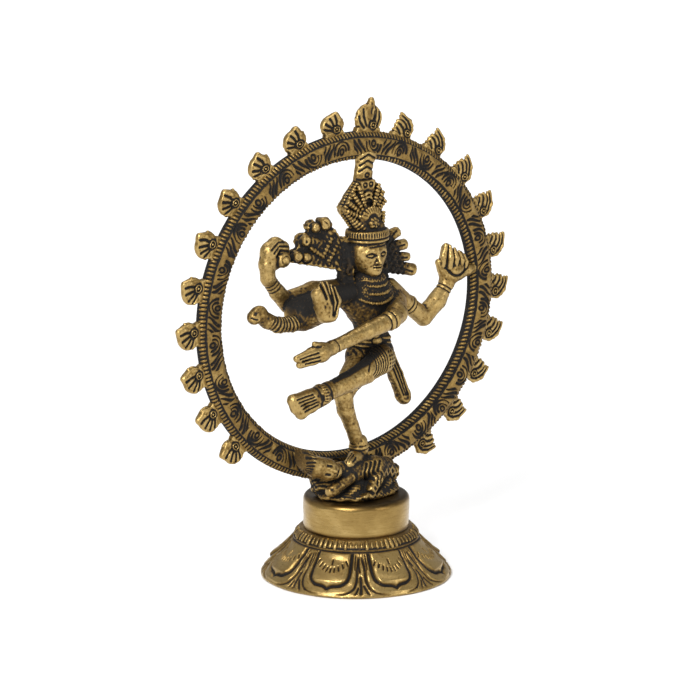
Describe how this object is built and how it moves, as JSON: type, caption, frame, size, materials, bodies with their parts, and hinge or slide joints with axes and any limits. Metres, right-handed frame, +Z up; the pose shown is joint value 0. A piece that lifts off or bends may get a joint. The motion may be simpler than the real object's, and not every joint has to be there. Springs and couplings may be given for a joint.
{
  "type": "nataraja statue",
  "caption": "Small cast brass dancing figure on a dwarf inside an upright ring of flames, on a round hollow foot with a polished drum and a lotus skirt.",
  "frame": {"origin": "centre of the round foot at the height of the table", "axes": "+Z up along the statue's height, the figure faces -Y, the ring of flames stands in an X-Z plane with X across its width"},
  "size_m": [0.1143, 0.0508, 0.127],
  "materials": {
    "ring_brass": "antique, dark in the grooves, rubbed bright on the ridges",
    "figure_brass": "antique, dark in the folds, rubbed satin on limbs",
    "base_brass": "antique, chased lotus petals darkened in the lines",
    "polished_brass": "lathe polished, fine turning marks",
    "fastener_steel": "plain zinc, dull"
  },
  "bodies": {
    "root": {"anklet_raised": "figure_brass", "anklet_standing": "figure_brass", "arm_back_left": "figure_brass", "arm_back_right": "figure_brass", "arm_front_left": "figure_brass", "arm_front_right": "figure_brass", "bead_collar": "base_brass", "bracelet_front_right": "figure_brass", "crown_fan": "figure_brass", "crown_post": "figure_brass", "drum": "polished_brass", "dwarf_body": "figure_brass", "dwarf_head": "figure_brass", "dwarf_legs": "figure_brass", "flame_left_01": "ring_brass", "flame_left_02": "ring_brass", "flame_left_03": "ring_brass", "flame_left_04": "ring_brass", "flame_left_05": "ring_brass", "flame_left_06": "ring_brass", "flame_left_07": "ring_brass", "flame_left_08": "ring_brass", "flame_left_09": "ring_brass", "flame_left_10": "ring_brass", "flame_right_01": "ring_brass", "flame_right_02": "ring_brass", "flame_right_03": "ring_brass", "flame_right_04": "ring_brass", "flame_right_05": "ring_brass", "flame_right_06": "ring_brass", "flame_right_07": "ring_brass", "flame_right_08": "ring_brass", "flame_right_09": "ring_brass", "flame_right_10": "ring_brass", "flame_ring": "ring_brass", "flame_top": "ring_brass", "foot_raised": "figure_brass", "foot_standing": "figure_brass", "hair_locks_left": "figure_brass", "hair_locks_right": "figure_brass", "hand_blessing": "figure_brass", "hand_crossing": "figure_brass", "hand_drum": "figure_brass", "hand_flame": "figure_brass", "head": "figure_brass", "hex_nut": "fastener_steel", "hip_cloth": "figure_brass", "inner_border": "ring_brass", "leg_raised": "figure_brass", "leg_standing": "figure_brass", "lotus_skirt": "base_brass", "mound": "figure_brass", "mounting_stud": "fastener_steel", "necklace": "figure_brass", "outer_border": "ring_brass", "sash_tail": "figure_brass", "snake": "figure_brass", "torso": "figure_brass", "waist_belt": "figure_brass", "washer": "fastener_steel"}
  },
  "joints": []
}
